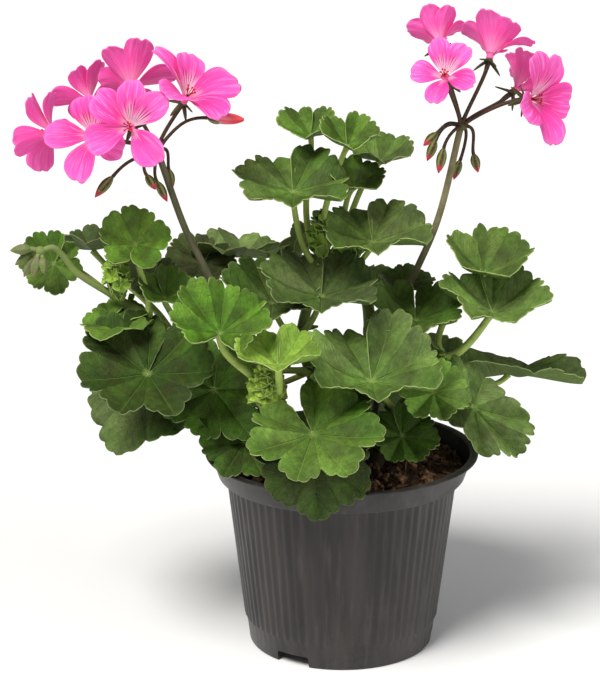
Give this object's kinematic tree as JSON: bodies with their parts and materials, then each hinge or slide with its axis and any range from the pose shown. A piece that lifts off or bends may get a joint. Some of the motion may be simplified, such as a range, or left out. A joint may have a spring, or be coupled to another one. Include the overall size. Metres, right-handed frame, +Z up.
{
  "type": "potted pelargonium",
  "caption": "Zonal pelargonium in a ribbed plastic nursery pot: rounded, lobed leaves on thin stalks, and open pink flower heads on tall bare stalks.",
  "frame": {"origin": "middle of the pot's foot, on the surface it stands on", "axes": "+Z up, +X to the right and -Y to the front of the plant as it is seen in the picture"},
  "size_m": [0.2751, 0.1721, 0.3049],
  "materials": {
    "pot": "satin dark grey moulded plastic",
    "soil": null,
    "leaf": null,
    "young_leaf": "fresh pale green growth",
    "flower_stalk": "brown-green to maroon stalk",
    "petal": "soft pink petal with darker veins"
  },
  "bodies": {
    "root": {"pot": "pot", "soil": "soil", "leafy_stem_left": "leaf", "leafy_stem_front": "leaf", "leafy_stem_middle": "leaf", "leafy_stem_right": "leaf", "leafy_stem_back": "leaf", "flower_stalk_left": "flower_stalk", "bloom_left_1": "petal", "bloom_left_2": "petal", "bloom_left_3": "petal", "bloom_left_4": "petal", "bloom_left_5": "petal", "bloom_left_6": "petal", "flower_stalk_right": "flower_stalk", "bloom_right_1": "petal", "bloom_right_2": "petal", "bloom_right_3": "petal", "bloom_right_4": "petal", "bloom_right_5": "petal", "bloom_left_bud": "petal", "bud_head": "young_leaf"}
  },
  "joints": []
}
